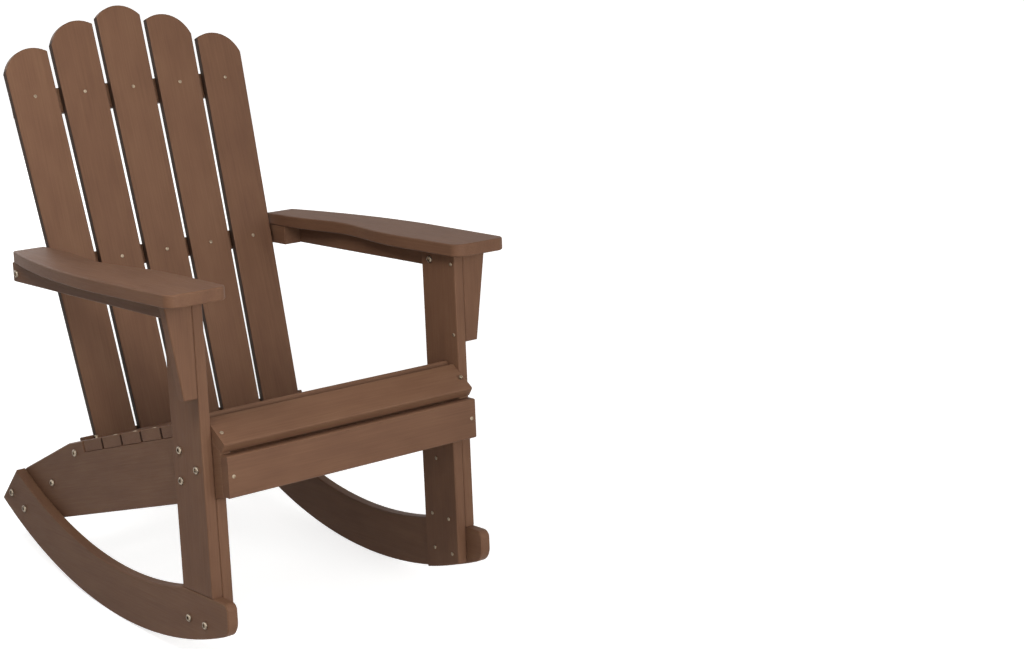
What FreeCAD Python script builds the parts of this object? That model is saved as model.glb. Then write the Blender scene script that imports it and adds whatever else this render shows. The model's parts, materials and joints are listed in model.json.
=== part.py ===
"""Rocking adirondack chair in poly lumber: two curved rockers, a slatted seat and a fanned back.

Every size is in millimetres. The side frames are drawn as a joiner would lay them
out, with the legs upright and the arms level: Y runs from the front edge of the
legs to the back, Z up from the lowest tangent of the rockers, X out from the
middle of the seat. The finished chair is then rolled back on its rockers until its
weight hangs over the point that touches the floor, and set down centred on the
origin with its front towards -Y.
"""
import FreeCAD, Part
import math
import os

Vector = FreeCAD.Vector

# Boards
BOARD = 20.0
ARM_BOARD = 22.5
BACK_BOARD = 15.0
EDGE_EASE = 1.8

# Side frames: an outer and an inner layer of boards meet on the joint plane
JOINT_HALF_SPAN = 259.0
LEG_WIDTH = 95.0
ARM_HEIGHT = 642.0
FLOOR_CLEARANCE = 3.0

# Rockers
ROCKER_RADIUS = 900.0
ROCKER_DEPTH = 92.0
ROCKER_CENTRE_Y = 281.0
ROCKER_TAIL_TOP_Y = 690.0
ROCKER_TAIL_LOW_Y = 757.0
NOSE_REACH = 43.5
NOSE_TOP_ROUND = 13.0
NOSE_LOW_ROUND = 30.0

# Seat and back stand square to each other
RAKE = math.radians(15.0)
SEAT_LINE_REAR = (447.0, 280.0)
STRINGER_DEPTH = 114.0
STRINGER_SHOULDER_Y = 507.0
SEAT_SLAT_WIDTH = 67.5
SEAT_SLAT_GAP = 5.5
FLAT_SEAT_SLATS = 6
FRONT_SLAT_WIDTH = 54.0
FRONT_SLAT_SLOPE = math.radians(34.0)

# Front apron
APRON_FRONT_Y = -43.0
APRON_BOTTOM = 291.0
APRON_GAP = 2.5

# Back
BACK_SETBACK = 12.0
BACK_SLATS = 5
BACK_FOOT_GAP = 9.5
BACK_FOOT_CLEARANCE = 17.5
BACK_HEAD_GAP = 11.5
BACK_HEAD_INSET = 9.0
BACK_FAN_LENGTH = 658.0
BACK_TAIL = 62.0
MIDDLE_CROWN = 791.0
SECOND_CROWN = 768.0
OUTER_CROWN = 724.0
MIDDLE_SHOULDER_SHARE = 0.228
INNER_SHOULDER_SHARE = 0.087
OUTER_SHOULDER_SHARE = 0.467
CROWN_OFFSET = 0.4
TOP_RAIL_HEIGHT = 47.0
TOP_RAIL_DROP = 99.0
TOP_RAIL_INSET = 21.0
LOW_RAIL_HEIGHT = 50.0
LOW_RAIL_CENTRE = -19.0
STRETCHER_HEIGHT = 80.0
STRETCHER_CENTRE = (583.0, 195.0)

# Arms, their outline measured out from the joint plane
RAIL_HEIGHT = 36.0
RAIL_REAR_Y = 585.0
ARM_FRONT_Y = -44.0
ARM_REAR_Y = 570.0
ARM_OUTER_REAR = 44.0
ARM_OUTER_BULGE = (81.0, 385.0)
ARM_OUTER_WIDEST = (94.0, 190.0)
ARM_OUTER_FRONT = 87.0
ARM_INNER = -26.0
ARM_INNER_CURVE_START = 125.0
ARM_INNER_HIP = (-2.0, 345.0)
ARM_INNER_REAR = -18.0
ARM_INNER_STRAIGHT = 75.0
ARM_CORNER = 21.0
BRACKET_TOP_REACH = 51.0
BRACKET_FOOT_REACH = 26.0
BRACKET_LENGTH = 163.5
CLEAT_WIDTH = 36.0
CLEAT_FRONT_Y = 512.0
UNDER_ARM_CLEARANCE = 0.3

# Fasteners
BOLT_RADIUS = 4.0
BOLT_HEAD_RADIUS = 8.0
BOLT_HEAD_HEIGHT = 4.5
BOLT_SOCKET = 5.0
BOLT_SOCKET_DEPTH = 2.7
BOLT_LENGTH = 36.0
RAIL_BOLT_LENGTH = 60.0
SCREW_RADIUS = 2.2
SCREW_HEAD_RADIUS = 4.2
SCREW_HEAD_HEIGHT = 1.6
SCREW_LENGTH = 33.0
HOLE_CLEARANCE = 0.2
DRILL_OVERRUN = 1.0
LEG_BOLTS = ((72.0, 357.0), (22.0, 332.0), (73.0, 304.0))
ROCKER_FRONT_BOLTS = ((81.0, 62.0), (30.0, 61.0))
ROCKER_REAR_BOLTS = ((24.0, 37.5), (-23.0, 40.5))
LEG_TOP_BOLT_Y = 70.0
INNER_LEG_SCREWS = ((53.0, 239.0), (72.0, 131.0), (24.0, 129.0), (69.0, 66.0), (18.0, 64.0))
BRACKET_SCREW_INSETS = (21.0, 149.0)
TOP_SCREW_RISE = 9.0

# Worked out from the sizes above
OUTER_FACE = JOINT_HALF_SPAN + BOARD
INNER_FACE = JOINT_HALF_SPAN - BOARD
ARM_UNDERSIDE = ARM_HEIGHT - ARM_BOARD
AXLE = (ROCKER_CENTRE_Y, ROCKER_RADIUS)
APRON_BACK_Y = APRON_FRONT_Y + BOARD
SEAT_PITCH = SEAT_SLAT_WIDTH + SEAT_SLAT_GAP
BACK_GAPS = BACK_SLATS - 1
BACK_FOOT_WIDTH = (2.0 * (INNER_FACE - BACK_FOOT_CLEARANCE) - BACK_GAPS * BACK_FOOT_GAP) / BACK_SLATS
BACK_HEAD_WIDTH = (2.0 * (JOINT_HALF_SPAN - BACK_HEAD_INSET) - BACK_GAPS * BACK_HEAD_GAP) / BACK_SLATS
TOP_RAIL_CENTRE = OUTER_CROWN - TOP_RAIL_DROP
OCTAGON = [math.pi * k / 4.0 for k in range(8)]
SIXTEEN_SIDES = [math.pi * k / 8.0 for k in range(16)]
HEXAGON = [math.pi * k / 3.0 for k in range(6)]


def arc_height(radius, y):
    """Height at y of the lower half of a circle about the rocker's centre."""
    return AXLE[1] - math.sqrt(radius ** 2 - (y - AXLE[0]) ** 2)


ROCKER_TOP_RADIUS = ROCKER_RADIUS - ROCKER_DEPTH
CLEAR_RADIUS = ROCKER_RADIUS - FLOOR_CLEARANCE
LEG_FOOT = arc_height(ROCKER_TOP_RADIUS, LEG_WIDTH)


def seat_line(y, above=0.0):
    """Height at y of the stringers' top edge, or of a line a board's thickness above it."""
    return SEAT_LINE_REAR[1] - (y - SEAT_LINE_REAR[0]) * math.tan(RAKE) + above / math.cos(RAKE)


def along_seat(run, above=0.0):
    """Point (y, z) a run behind the last slat's stop, measured along the stringer."""
    y = SEAT_LINE_REAR[0] + run * math.cos(RAKE) + above * math.sin(RAKE)
    z = SEAT_LINE_REAR[1] - run * math.sin(RAKE) + above * math.cos(RAKE)
    return y, z


HINGE = along_seat(-FLAT_SEAT_SLATS * SEAT_PITCH - SEAT_SLAT_GAP)


def under_front_slat(y):
    """Height at y of the underside of the sloping front slat."""
    return HINGE[1] + (y - HINGE[0]) * math.tan(FRONT_SLAT_SLOPE)


BACK_FOOT = along_seat(BACK_SETBACK, BOARD)


def on_back(rise, depth=0.0):
    """Point (y, z) at a rise up the back and a depth behind its front face."""
    y = BACK_FOOT[0] + rise * math.sin(RAKE) + depth * math.cos(RAKE)
    z = BACK_FOOT[1] + rise * math.cos(RAKE) - depth * math.sin(RAKE)
    return y, z


MID_RAIL_TOP = (ARM_UNDERSIDE - UNDER_ARM_CLEARANCE - on_back(0.0, BACK_BOARD)[1]) / math.cos(RAKE)
MID_RAIL_CENTRE = MID_RAIL_TOP - RAIL_HEIGHT / 2.0
RAIL_DEPTH = BACK_BOARD + BOARD / 2.0


def edges_from(start, steps, place):
    """Edges of an outline of lines and three-point arcs.

    start is the first point; each step is (end,) for a line or (through, end) for
    an arc; place turns a two-number point into a vector.
    """
    edges = []
    here = place(*start)
    for step in steps:
        end = place(*step[-1])
        if len(step) == 1:
            edges.append(Part.makeLine(here, end))
        else:
            edges.append(Part.Arc(here, place(*step[0]), end).toShape())
        here = end
    return edges


def face_from(start, steps, place):
    """Flat face inside a closed outline."""
    return Part.Face(Part.Wire(edges_from(start, steps, place)))


def side_board(start, steps, inner):
    """Board of the right-hand side frame from its (y, z) outline."""
    face = face_from(start, steps, lambda y, z: Vector(inner, y, z))
    return face.extrude(Vector(BOARD, 0, 0))


def cross_board(half_length, start, steps):
    """Board across the chair from its (y, z) end profile."""
    face = face_from(start, steps, lambda y, z: Vector(-half_length, y, z))
    return face.extrude(Vector(2.0 * half_length, 0, 0))


def eased(board, keep):
    """Board with its arrises taken off, apart from those that keep() names."""
    return board.makeChamfer(EDGE_EASE, [edge for edge in board.Edges if not keep(edge)])


def along_x(edge):
    """True for a straight edge that runs across the chair."""
    first, last = edge.Vertexes[0].Point, edge.Vertexes[-1].Point
    return abs((last - first).normalize().x) > 0.99


def across_board(edge):
    """True for an edge that crosses a side board's thickness."""
    box = edge.BoundBox
    return box.XLength > BOARD / 2.0


def mirrored(shape):
    """The same piece on the other side of the chair."""
    return shape.mirror(Vector(0, 0, 0), Vector(1, 0, 0))


def nose_round():
    """Start, middle and end of the rounding that runs from the nose into the sole."""
    inner_radius = ROCKER_RADIUS - NOSE_LOW_ROUND
    centre_y = NOSE_LOW_ROUND - NOSE_REACH
    centre_z = arc_height(inner_radius, centre_y)
    down = Vector(0, centre_y - AXLE[0], centre_z - AXLE[1]).normalize()
    between = (down + Vector(0, -1, 0)).normalize()
    turns = (Vector(0, -1, 0), between, down)
    return [(centre_y + NOSE_LOW_ROUND * turn.y, centre_z + NOSE_LOW_ROUND * turn.z) for turn in turns]


def rocker():
    """Curved runner: flat seat under the leg, rounded nose, slanting tail."""
    nose_y = -NOSE_REACH
    cut = NOSE_TOP_ROUND * (1.0 - math.sqrt(0.5))
    start, middle, end = nose_round()
    return side_board(
        (LEG_WIDTH, LEG_FOOT),
        [
            ((nose_y + NOSE_TOP_ROUND, LEG_FOOT),),
            ((nose_y + cut, LEG_FOOT - cut), (nose_y, LEG_FOOT - NOSE_TOP_ROUND)),
            (start,),
            (middle, end),
            ((ROCKER_CENTRE_Y, 0.0), (ROCKER_TAIL_LOW_Y, arc_height(ROCKER_RADIUS, ROCKER_TAIL_LOW_Y))),
            ((ROCKER_TAIL_TOP_Y, arc_height(ROCKER_TOP_RADIUS, ROCKER_TAIL_TOP_Y)),),
            ((ROCKER_CENTRE_Y, ROCKER_DEPTH), (LEG_WIDTH, LEG_FOOT)),
        ],
        JOINT_HALF_SPAN,
    )


def outer_leg():
    """Front leg that stands on the rocker and carries the arm."""
    return side_board(
        (0.0, LEG_FOOT),
        [
            ((LEG_WIDTH, LEG_FOOT),),
            ((LEG_WIDTH, ARM_UNDERSIDE),),
            ((0.0, ARM_UNDERSIDE),),
            ((0.0, LEG_FOOT),),
        ],
        JOINT_HALF_SPAN,
    )


def stringer_bottom(y):
    """Height at y of the seat stringer's lower edge."""
    return seat_line(y, -STRINGER_DEPTH)


def inner_leg():
    """Inner half of the leg, from the stringer down behind the rocker."""
    front, middle, rear = [(y, arc_height(CLEAR_RADIUS, y)) for y in (0.0, LEG_WIDTH / 2.0, LEG_WIDTH)]
    return side_board(
        (0.0, stringer_bottom(0.0)),
        [
            (front,),
            (middle, rear),
            ((LEG_WIDTH, stringer_bottom(LEG_WIDTH)),),
            ((0.0, stringer_bottom(0.0)),),
        ],
        INNER_FACE,
    )


def stringer_heel():
    """Point where the stringer's lower edge runs into the arc above the floor."""
    slope = -math.tan(RAKE)
    offset = stringer_bottom(AXLE[0]) - AXLE[1]
    a = 1.0 + slope ** 2
    b = 2.0 * slope * offset
    c = offset ** 2 - CLEAR_RADIUS ** 2
    y = AXLE[0] + (-b + math.sqrt(b ** 2 - 4.0 * a * c)) / (2.0 * a)
    return y, stringer_bottom(y)


def tail_point(radius):
    """Point of the rocker's slanting tail at a distance from the rocker's centre."""
    top = (ROCKER_TAIL_TOP_Y, arc_height(ROCKER_TOP_RADIUS, ROCKER_TAIL_TOP_Y))
    low = (ROCKER_TAIL_LOW_Y, arc_height(ROCKER_RADIUS, ROCKER_TAIL_LOW_Y))
    share_low, share_high = 0.0, 1.0
    for _ in range(40):
        share = (share_low + share_high) / 2.0
        y = top[0] + (low[0] - top[0]) * share
        z = top[1] + (low[1] - top[1]) * share
        if math.hypot(y - AXLE[0], z - AXLE[1]) < radius:
            share_low = share
        else:
            share_high = share
    return y, z


def seat_stringer():
    """Seat bearer: slat rebate on top, raised behind the seat, tail behind the rocker."""
    stop = along_seat(0.0)
    lip = along_seat(0.0, BOARD)
    shoulder = (STRINGER_SHOULDER_Y, seat_line(STRINGER_SHOULDER_Y, BOARD))
    tail_top = tail_point(ROCKER_TOP_RADIUS)
    tail_low = tail_point(CLEAR_RADIUS)
    heel = stringer_heel()
    belly_y = (tail_low[0] + heel[0]) / 2.0
    return side_board(
        (APRON_BACK_Y, stringer_bottom(APRON_BACK_Y)),
        [
            ((APRON_BACK_Y, under_front_slat(APRON_BACK_Y)),),
            (HINGE,),
            (stop,),
            (lip,),
            (shoulder,),
            (tail_top,),
            (tail_low,),
            ((belly_y, arc_height(CLEAR_RADIUS, belly_y)), heel),
            ((APRON_BACK_Y, stringer_bottom(APRON_BACK_Y)),),
        ],
        INNER_FACE,
    )


def arm_bracket():
    """Tapered plate outside the leg, under the front of the arm."""
    foot = ARM_UNDERSIDE - BRACKET_LENGTH
    face = face_from(
        (OUTER_FACE, ARM_UNDERSIDE),
        [
            ((OUTER_FACE, foot),),
            ((OUTER_FACE + BRACKET_FOOT_REACH, foot),),
            ((OUTER_FACE + BRACKET_TOP_REACH, ARM_UNDERSIDE),),
            ((OUTER_FACE, ARM_UNDERSIDE),),
        ],
        lambda x, z: Vector(x, 0.0, z),
    )
    return face.extrude(Vector(0, BOARD, 0))


def arm_rail():
    """Long rail on edge under the arm, outside the leg."""
    return Part.makeBox(
        BOARD, RAIL_REAR_Y - BOARD, RAIL_HEIGHT, Vector(OUTER_FACE, BOARD, ARM_UNDERSIDE - RAIL_HEIGHT)
    )


def cleat_block():
    """Block in the corner of the arm rail and the middle back rail."""
    low = ARM_UNDERSIDE - RAIL_HEIGHT
    back_low = rail_front_y(low)
    back_top = rail_front_y(ARM_UNDERSIDE)
    face = face_from(
        (CLEAT_FRONT_Y, low),
        [
            ((back_low, low),),
            ((back_top, ARM_UNDERSIDE),),
            ((CLEAT_FRONT_Y, ARM_UNDERSIDE),),
            ((CLEAT_FRONT_Y, low),),
        ],
        lambda y, z: Vector(OUTER_FACE - CLEAT_WIDTH, y, z),
    )
    return face.extrude(Vector(CLEAT_WIDTH, 0, 0))


def rail_front_y(z):
    """Place of the back rails' front face at a height."""
    foot = on_back(0.0, BACK_BOARD)
    return foot[0] + (z - foot[1]) * math.tan(RAKE)


def on_arm(out, y):
    """Point of the arm's underside at a distance out from the joint plane."""
    return Vector(JOINT_HALF_SPAN + out, y, ARM_UNDERSIDE)


def arm_waist(start, end):
    """Smooth inner edge of the arm, narrowing past the sitter's hip."""
    waist = Part.BSplineCurve()
    waist.interpolate(
        [on_arm(*start), on_arm(*ARM_INNER_HIP), on_arm(*end)],
        InitialTangent=Vector(0, 1, 0),
        FinalTangent=Vector(0, 1, 0),
    )
    return waist.toShape()


def armrest():
    """Broad paddle arm: bowed outside, waisted inside, rounded front corners."""
    cut = ARM_CORNER * (1.0 - math.sqrt(0.5))
    corner_y = ARM_FRONT_Y + ARM_CORNER
    waist_start = (ARM_INNER, ARM_INNER_CURVE_START)
    waist_end = (ARM_INNER_REAR, ARM_REAR_Y - ARM_INNER_STRAIGHT)
    outer_corner = (ARM_OUTER_FRONT - cut, ARM_FRONT_Y + cut)
    inner_corner = (ARM_INNER + cut, ARM_FRONT_Y + cut)
    steps = [
        (ARM_OUTER_BULGE, ARM_OUTER_WIDEST),
        ((ARM_OUTER_FRONT, corner_y),),
        (outer_corner, (ARM_OUTER_FRONT - ARM_CORNER, ARM_FRONT_Y)),
        ((ARM_INNER + ARM_CORNER, ARM_FRONT_Y),),
        (inner_corner, (ARM_INNER, corner_y)),
        (waist_start,),
    ]
    edges = edges_from((ARM_OUTER_REAR, ARM_REAR_Y), steps, on_arm)
    edges.append(arm_waist(waist_start, waist_end))
    edges += edges_from(waist_end, [((ARM_INNER_REAR, ARM_REAR_Y),), ((ARM_OUTER_REAR, ARM_REAR_Y),)], on_arm)
    return Part.Face(Part.Wire(edges)).extrude(Vector(0, 0, ARM_BOARD))


def set_on_back(shape):
    """Turn a piece drawn upright in (x, depth, rise) to its place on the raked back."""
    turned = shape.copy()
    turned.rotate(Vector(0, 0, 0), Vector(1, 0, 0), -math.degrees(RAKE))
    turned.translate(Vector(0, BACK_FOOT[0], BACK_FOOT[1]))
    return turned


def fan_edge(index, rise):
    """Edge number index of the fanned slats, counted out from the middle, at a rise."""
    slat, outer = divmod(index, 2)
    foot = slat * (BACK_FOOT_WIDTH + BACK_FOOT_GAP) + (0.5 if outer else -0.5) * BACK_FOOT_WIDTH
    head = slat * (BACK_HEAD_WIDTH + BACK_HEAD_GAP) + (0.5 if outer else -0.5) * BACK_HEAD_WIDTH
    return foot + (head - foot) * rise / BACK_FAN_LENGTH


def slat_head(slat, near, far):
    """Rise of the inner and the outer shoulder and the crown point between the edges near and far."""
    if slat == 0:
        crown, lean = MIDDLE_CROWN, 0.5
        inner_share = outer_share = MIDDLE_SHOULDER_SHARE
    else:
        crown, lean = (SECOND_CROWN if slat == 1 else OUTER_CROWN), CROWN_OFFSET
        inner_share, outer_share = INNER_SHOULDER_SHARE, OUTER_SHOULDER_SHARE
    inner = crown - inner_share * BACK_HEAD_WIDTH
    outer = crown - outer_share * BACK_HEAD_WIDTH
    start = fan_edge(near, inner)
    peak = start + (fan_edge(far, outer) - start) * lean
    return inner, outer, (peak, crown)


def back_slat(place):
    """One back slat; place counts from the middle, negative to the left."""
    near = 2 * abs(place)
    far = near + 1
    inner, outer, peak = slat_head(abs(place), near, far)
    foot = (fan_edge(near, -BACK_TAIL), -BACK_TAIL)
    face = face_from(
        foot,
        [
            ((fan_edge(near, inner), inner),),
            (peak, (fan_edge(far, outer), outer)),
            ((fan_edge(far, -BACK_TAIL), -BACK_TAIL),),
            (foot,),
        ],
        lambda x, rise: Vector(x, 0.0, rise),
    )
    board = eased(face.extrude(Vector(0, BACK_BOARD, 0)), lambda e: e.BoundBox.YLength > BACK_BOARD / 2.0)
    board = set_on_back(board)
    return mirrored(board) if place < 0 else board


def back_rail(half_length, height, centre):
    """Rail across the rear of the back slats."""
    corner = Vector(-half_length, BACK_BOARD, centre - height / 2.0)
    board = Part.makeBox(2.0 * half_length, BOARD, height, corner)
    return set_on_back(eased(board, lambda e: not along_x(e)))


def rear_stretcher():
    """Board between the stringers' tails."""
    board = Part.makeBox(
        2.0 * INNER_FACE, BOARD, STRETCHER_HEIGHT, Vector(-INNER_FACE, -BOARD / 2.0, -STRETCHER_HEIGHT / 2.0)
    )
    board = eased(board, lambda e: not along_x(e))
    board.rotate(Vector(0, 0, 0), Vector(1, 0, 0), -math.degrees(RAKE))
    board.translate(Vector(0, *STRETCHER_CENTRE))
    return board


def seat_slat(number):
    """Flat seat slat; number counts forward from the rearmost."""
    rear = -SEAT_SLAT_GAP - number * SEAT_PITCH
    front = rear - SEAT_SLAT_WIDTH
    board = cross_board(
        JOINT_HALF_SPAN,
        along_seat(front),
        [(along_seat(rear),), (along_seat(rear, BOARD),), (along_seat(front, BOARD),), (along_seat(front),)],
    )
    return eased(board, lambda e: not along_x(e))


def front_slat_point(run, above=0.0):
    """Point (y, z) a run forward of the hinge, measured down the front slat's underside."""
    y = HINGE[0] - run * math.cos(FRONT_SLAT_SLOPE) - above * math.sin(FRONT_SLAT_SLOPE)
    z = HINGE[1] - run * math.sin(FRONT_SLAT_SLOPE) + above * math.cos(FRONT_SLAT_SLOPE)
    return y, z


def front_seat_slat():
    """Sloping front slat, cut upright where it meets the first flat one."""
    crest = (HINGE[0], under_front_slat(HINGE[0]) + BOARD / math.cos(FRONT_SLAT_SLOPE))
    nose_top = front_slat_point(FRONT_SLAT_WIDTH, BOARD)
    nose_low = front_slat_point(FRONT_SLAT_WIDTH)
    board = cross_board(JOINT_HALF_SPAN, HINGE, [(crest,), (nose_top,), (nose_low,), (HINGE,)])
    return eased(board, lambda e: not along_x(e))


def front_apron():
    """Board across the stringers' front ends, a little proud of the front slat above it."""
    top = front_slat_point(FRONT_SLAT_WIDTH)[1] - APRON_GAP
    corner = Vector(-JOINT_HALF_SPAN, APRON_FRONT_Y, APRON_BOTTOM)
    board = Part.makeBox(2.0 * JOINT_HALF_SPAN, BOARD, top - APRON_BOTTOM, corner)
    return eased(board, lambda e: not along_x(e))


def prism(seat, axis, radius, length, turns):
    """Round bar drawn with a few flats, its corners at the given turns, standing on seat along axis."""
    corners = [Vector(radius * math.cos(t), radius * math.sin(t), 0) for t in turns]
    bar = Part.Face(Part.makePolygon(corners + corners[:1])).extrude(Vector(0, 0, length))
    bar.Placement = FreeCAD.Placement(seat, FreeCAD.Rotation(Vector(0, 0, 1), axis))
    return bar


def bolt(seat, axis, length):
    """Flat-headed bolt with a hexagon socket; seat is the point under its head."""
    shank = prism(seat, axis, BOLT_RADIUS, length, OCTAGON)
    head = prism(seat, -axis, BOLT_HEAD_RADIUS, BOLT_HEAD_HEIGHT, SIXTEEN_SIDES)
    floor = seat - axis * (BOLT_HEAD_HEIGHT - BOLT_SOCKET_DEPTH)
    socket = prism(floor, -axis, BOLT_SOCKET / math.sqrt(3.0), BOLT_SOCKET_DEPTH, HEXAGON)
    return shank.fuse(head).cut(socket)


def screw(seat, axis, length):
    """Small screw whose low head stands on the board."""
    shank = prism(seat, axis, SCREW_RADIUS, length, OCTAGON)
    head = prism(seat, -axis, SCREW_HEAD_RADIUS, SCREW_HEAD_HEIGHT, OCTAGON)
    return shank.fuse(head)


def hole(seat, axis, radius, length):
    """Drilling for a fastener, started a little outside the board."""
    start = seat - axis * DRILL_OVERRUN
    return prism(start, axis, radius + HOLE_CLEARANCE, length + 2.0 * DRILL_OVERRUN, OCTAGON)


RIGHTWARD = Vector(1, 0, 0)
LEFTWARD = Vector(-1, 0, 0)
INTO_BACK = Vector(0, math.cos(RAKE), -math.sin(RAKE))
INTO_SEAT = Vector(0, -math.sin(RAKE), -math.cos(RAKE))
INTO_FRONT_SLAT = Vector(0, math.sin(FRONT_SLAT_SLOPE), -math.cos(FRONT_SLAT_SLOPE))


def rocker_rear_bolt(run, above_sole):
    """Point (y, z) at a run behind the rocker's tail corner and a distance in from its sole."""
    y = ROCKER_TAIL_TOP_Y + run
    return y, arc_height(ROCKER_RADIUS - above_sole, y)


def bolts_from_outside(points, x, length):
    """Bolts driven inwards through the boards at (y, z) points."""
    return [("bolt", Vector(x, y, z), LEFTWARD, length) for y, z in points]


def to_left(vector):
    """The same point or direction on the other side of the chair."""
    return Vector(-vector.x, vector.y, vector.z)


def right_side_fasteners():
    """Fasteners of the right-hand side frame as {node: [(kind, seat, axis, length)]}."""
    rail_middle = ARM_UNDERSIDE - RAIL_HEIGHT / 2.0
    low_rail_end = on_back(LOW_RAIL_CENTRE, RAIL_DEPTH)
    mid_rail_end = on_back(MID_RAIL_CENTRE, RAIL_DEPTH)
    rocker_bolts = list(ROCKER_FRONT_BOLTS) + [rocker_rear_bolt(*place) for place in ROCKER_REAR_BOLTS]
    leg_top = Vector(JOINT_HALF_SPAN, LEG_TOP_BOLT_Y, rail_middle)
    lists = {
        "leg_bolts": bolts_from_outside(LEG_BOLTS, OUTER_FACE, BOLT_LENGTH),
        "rocker_bolts": bolts_from_outside(rocker_bolts, OUTER_FACE, BOLT_LENGTH),
        "stringer_bolts": bolts_from_outside(
            (low_rail_end, STRETCHER_CENTRE), JOINT_HALF_SPAN, RAIL_BOLT_LENGTH
        ),
        "arm_rail_bolts": bolts_from_outside((mid_rail_end,), OUTER_FACE + BOARD, RAIL_BOLT_LENGTH),
        "leg_top_bolts": [("bolt", leg_top, RIGHTWARD, BOLT_LENGTH)],
        "bracket_screws": [
            ("screw", Vector(JOINT_HALF_SPAN, BOARD / 2.0, ARM_UNDERSIDE - inset), RIGHTWARD, SCREW_LENGTH)
            for inset in BRACKET_SCREW_INSETS
        ],
        "inner_leg_screws": [
            ("screw", Vector(INNER_FACE, y, z), RIGHTWARD, SCREW_LENGTH) for y, z in INNER_LEG_SCREWS
        ],
    }
    return lists


def seat_and_back_fasteners():
    """Screws of the slats and the apron as {node: [(kind, seat, axis, length)]}."""
    screw_x = JOINT_HALF_SPAN - BOARD / 2.0
    lists = {"back_slat_screws": [], "seat_slat_screws": [], "apron_screws": []}
    rows = (TOP_RAIL_CENTRE + TOP_SCREW_RISE, MID_RAIL_CENTRE, LOW_RAIL_CENTRE)
    for slat in range(BACK_SLATS):
        place = slat - BACK_SLATS // 2
        for rise in rows:
            centre = (fan_edge(2 * abs(place), rise) + fan_edge(2 * abs(place) + 1, rise)) / 2.0
            x = math.copysign(centre, place) if place else 0.0
            lists["back_slat_screws"].append(("screw", Vector(x, *on_back(rise)), INTO_BACK, SCREW_LENGTH))
    middle_run = SEAT_SLAT_WIDTH / 2.0
    apron_middle = (APRON_BOTTOM + front_slat_point(FRONT_SLAT_WIDTH)[1]) / 2.0
    for x in (-screw_x, screw_x):
        top = Vector(x, *front_slat_point(FRONT_SLAT_WIDTH / 2.0, BOARD))
        lists["seat_slat_screws"].append(("screw", top, INTO_FRONT_SLAT, SCREW_LENGTH))
        for number in range(FLAT_SEAT_SLATS):
            run = -SEAT_SLAT_GAP - number * SEAT_PITCH - middle_run
            lists["seat_slat_screws"].append(
                ("screw", Vector(x, *along_seat(run, BOARD)), INTO_SEAT, SCREW_LENGTH)
            )
        front = Vector(x, APRON_FRONT_Y, apron_middle)
        lists["apron_screws"].append(("screw", front, Vector(0, 1, 0), SCREW_LENGTH))
    return lists


def all_fasteners():
    """Every fastener of the chair as {node: [(kind, seat, axis, length)]}."""
    lists = seat_and_back_fasteners()
    for node, items in right_side_fasteners().items():
        left = [(kind, to_left(seat), to_left(axis), length) for kind, seat, axis, length in items]
        lists[node] = items + left
    return lists


def boards():
    """Every board of the chair as {node: solid}, before drilling."""
    pieces = {}
    right = {
        "rocker": eased(rocker(), across_board),
        "outer_leg": eased(outer_leg(), across_board),
        "inner_leg": eased(inner_leg(), across_board),
        "seat_stringer": eased(seat_stringer(), across_board),
        "arm_bracket": eased(arm_bracket(), lambda e: e.BoundBox.YLength > BOARD / 2.0),
        "arm_rail": eased(arm_rail(), lambda e: e.BoundBox.YLength < BOARD),
        "cleat_block": cleat_block(),
        "armrest": eased(armrest(), lambda e: e.BoundBox.ZLength > BOARD / 2.0),
    }
    for name, solid in right.items():
        pieces[name + "_right"] = solid
        pieces[name + "_left"] = mirrored(solid)
    for slat in range(BACK_SLATS):
        pieces["back_slat_%d" % (slat + 1)] = back_slat(slat - BACK_SLATS // 2)
    pieces["top_back_rail"] = back_rail(JOINT_HALF_SPAN - TOP_RAIL_INSET, TOP_RAIL_HEIGHT, TOP_RAIL_CENTRE)
    pieces["mid_back_rail"] = back_rail(OUTER_FACE, RAIL_HEIGHT, MID_RAIL_CENTRE)
    pieces["lower_back_rail"] = back_rail(INNER_FACE, LOW_RAIL_HEIGHT, LOW_RAIL_CENTRE)
    pieces["rear_stretcher"] = rear_stretcher()
    pieces["front_seat_slat"] = front_seat_slat()
    for number in range(FLAT_SEAT_SLATS):
        pieces["seat_slat_%d" % (FLAT_SEAT_SLATS + 1 - number)] = seat_slat(number)
    pieces["front_apron"] = front_apron()
    return pieces


def drilled(solid, drills):
    """Board with the holes of the fasteners that pass through it."""
    near = [d for d in drills if d.BoundBox.intersect(solid.BoundBox)]
    return solid.cut(Part.makeCompound(near)) if near else solid


def build():
    """Whole chair in its own drawing position as {node: shape}."""
    fasteners = all_fasteners()
    makers = {"bolt": (bolt, BOLT_RADIUS), "screw": (screw, SCREW_RADIUS)}
    drills = [
        hole(seat, axis, makers[kind][1], length)
        for items in fasteners.values()
        for kind, seat, axis, length in items
    ]
    nodes = {name: drilled(solid, drills) for name, solid in boards().items()}
    for name, items in fasteners.items():
        solids = [makers[kind][0](seat, axis, length) for kind, seat, axis, length in items]
        nodes[name] = Part.makeCompound(solids)
    return nodes


def rest_lean(nodes):
    """Angle in degrees that brings the chair's weight under the rocker's centre."""
    weight = sum(s.Volume for shape in nodes.values() for s in shape.Solids)
    middle_y = sum(s.Volume * s.CenterOfMass.y for shape in nodes.values() for s in shape.Solids) / weight
    middle_z = sum(s.Volume * s.CenterOfMass.z for shape in nodes.values() for s in shape.Solids) / weight
    return math.degrees(math.atan2(middle_y - AXLE[0], AXLE[1] - middle_z))


def set_down(nodes):
    """Roll the chair to rest on its rockers and centre it over the origin."""
    lean = rest_lean(nodes)
    for shape in nodes.values():
        shape.rotate(Vector(0, *AXLE), Vector(1, 0, 0), -lean)
    whole = Part.makeCompound(list(nodes.values())).optimalBoundingBox(False, False)
    for shape in nodes.values():
        shape.translate(Vector(0, -(whole.YMin + whole.YMax) / 2.0, 0))
    return nodes


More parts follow.
